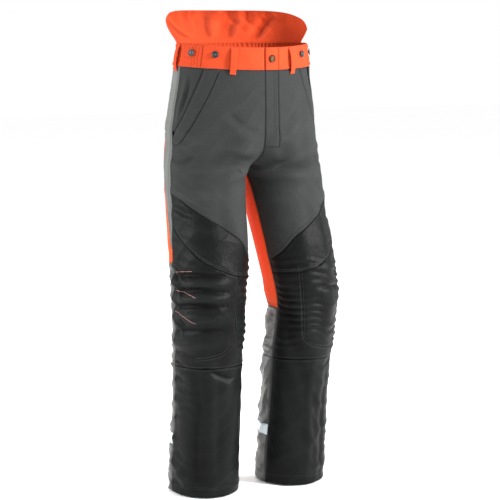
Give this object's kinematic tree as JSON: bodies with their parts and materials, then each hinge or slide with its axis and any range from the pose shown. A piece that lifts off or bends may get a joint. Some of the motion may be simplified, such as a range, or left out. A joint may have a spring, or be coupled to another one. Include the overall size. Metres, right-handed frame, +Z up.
{
  "type": "protective work trousers",
  "caption": "Cut-protective work trousers with a raised back, grey and black panels, orange waist and back thighs, fly and hip pocket zips, and knees that bend.",
  "frame": {"origin": "centre of the waist opening, level with the top edge of the waistband at the sides", "axes": "+Z up, -Y towards the front of the trousers, +X towards the wearer's left"},
  "size_m": [0.4126, 0.307, 1.121],
  "materials": {
    "grey_cloth": "dense woven stretch cloth",
    "black_cloth": "hard-wearing woven cloth",
    "orange_cloth": "warning-orange ripstop cloth",
    "back_cloth": "thin slightly shiny stretch cloth",
    "calf_cloth": "thin slightly shiny stretch cloth",
    "reflective_tape": "retroreflective tape",
    "cut_fibre": "layered cut-stopping fibre",
    "lining_cloth": "knitted lining",
    "zip_tape": "woven zip tape and coil",
    "steel": "antique metal",
    "button_plastic": "moulded black plastic"
  },
  "bodies": {
    "trousers": {"front_upper_left": "grey_cloth", "pocket_welt_left": "grey_cloth", "pocket_facing_left": "grey_cloth", "seat_left": "back_cloth", "thigh_back_left": "orange_cloth", "thigh_front_left": "black_cloth", "knee_patch_left": "black_cloth", "knee_back_left": "calf_cloth", "cut_pad_left": "cut_fibre", "lining_left": "lining_cloth", "pocket_bag_left": "lining_cloth", "front_upper_right": "grey_cloth", "pocket_welt_right": "grey_cloth", "pocket_facing_right": "grey_cloth", "seat_right": "back_cloth", "thigh_back_right": "orange_cloth", "thigh_front_right": "black_cloth", "knee_patch_right": "black_cloth", "knee_back_right": "calf_cloth", "cut_pad_right": "cut_fibre", "lining_right": "lining_cloth", "pocket_bag_right": "lining_cloth", "waistband_left": "orange_cloth", "waistband_right": "orange_cloth", "waistband_back": "orange_cloth", "kidney_panel": "orange_cloth", "belt_loop_front_left": "orange_cloth", "belt_loop_side_left": "orange_cloth", "belt_loop_back_left": "orange_cloth", "belt_loop_back": "orange_cloth", "belt_loop_back_right": "orange_cloth", "belt_loop_side_right": "orange_cloth", "belt_loop_front_right": "orange_cloth", "brace_button_front_left": "button_plastic", "brace_button_side_left": "button_plastic", "brace_button_back_left": "button_plastic", "brace_button_back_right": "button_plastic", "brace_button_side_right": "button_plastic", "brace_button_front_right": "button_plastic", "tack_button": "steel", "fly_shield": "grey_cloth", "fly_zip_tape_left": "zip_tape", "fly_zip_tape_right": "zip_tape", "pocket_zip_tape_left": "zip_tape", "pocket_zip_tape_right": "zip_tape"},
    "left_shin": {"shin_front_left": "black_cloth", "calf_left": "calf_cloth", "reflective_band_left": "reflective_tape", "hem_facing_left": "black_cloth"},
    "right_shin": {"shin_front_right": "black_cloth", "calf_right": "calf_cloth", "reflective_band_right": "reflective_tape", "hem_facing_right": "black_cloth"},
    "fly_flap": {"waist_tab": "orange_cloth", "fly_placket": "grey_cloth"},
    "fly_slider": {"fly_zip_slider": "steel"},
    "fly_pull": {"fly_zip_pull": "steel"},
    "pocket_slider": {"pocket_zip_slider": "steel"},
    "pocket_pull": {"pocket_zip_pull": "steel"}
  },
  "joints": [
    {"name": "left_knee_bend", "type": "hinge", "parent": "trousers", "child": "left_shin", "pos_m": [0.124, -0.07, -0.61], "axis": [1, 0, 0], "range_deg": [0, 70], "deforming": ["knee_patch_left", "knee_back_left", "cut_pad_left", "lining_left"]},
    {"name": "right_knee_bend", "type": "hinge", "parent": "trousers", "child": "right_shin", "pos_m": [-0.124, -0.07, -0.61], "axis": [1, 0, 0], "range_deg": [0, 70], "deforming": ["knee_patch_right", "knee_back_right", "cut_pad_right", "lining_right"]},
    {"name": "fly_flap_open", "type": "hinge", "parent": "trousers", "child": "fly_flap", "pos_m": [0.0352, -0.1162, -0.12], "axis": [0, 0.0427, 0.9991], "range_deg": [0, 120]},
    {"name": "fly_zip_slide", "type": "slide", "parent": "trousers", "child": "fly_slider", "axis": [0.0117, -0.032, -0.9994], "range_m": [0, 0.112]},
    {"name": "fly_pull_swing", "type": "hinge", "parent": "fly_slider", "child": "fly_pull", "pos_m": [0.01705, -0.11002, -0.08019], "axis": [-0.9988, 0.0474, -0.0132], "range_deg": [0, 4]},
    {"name": "pocket_zip_slide", "type": "slide", "parent": "trousers", "child": "pocket_slider", "axis": [0.2804, 0.3199, -0.905], "range_m": [-0.012, 0.09]},
    {"name": "pocket_pull_swing", "type": "hinge", "parent": "pocket_slider", "child": "pocket_pull", "pos_m": [0.14399, -0.05493, -0.08016], "axis": [-0.4394, -0.7955, -0.4173], "range_deg": [0, 150]}
  ]
}
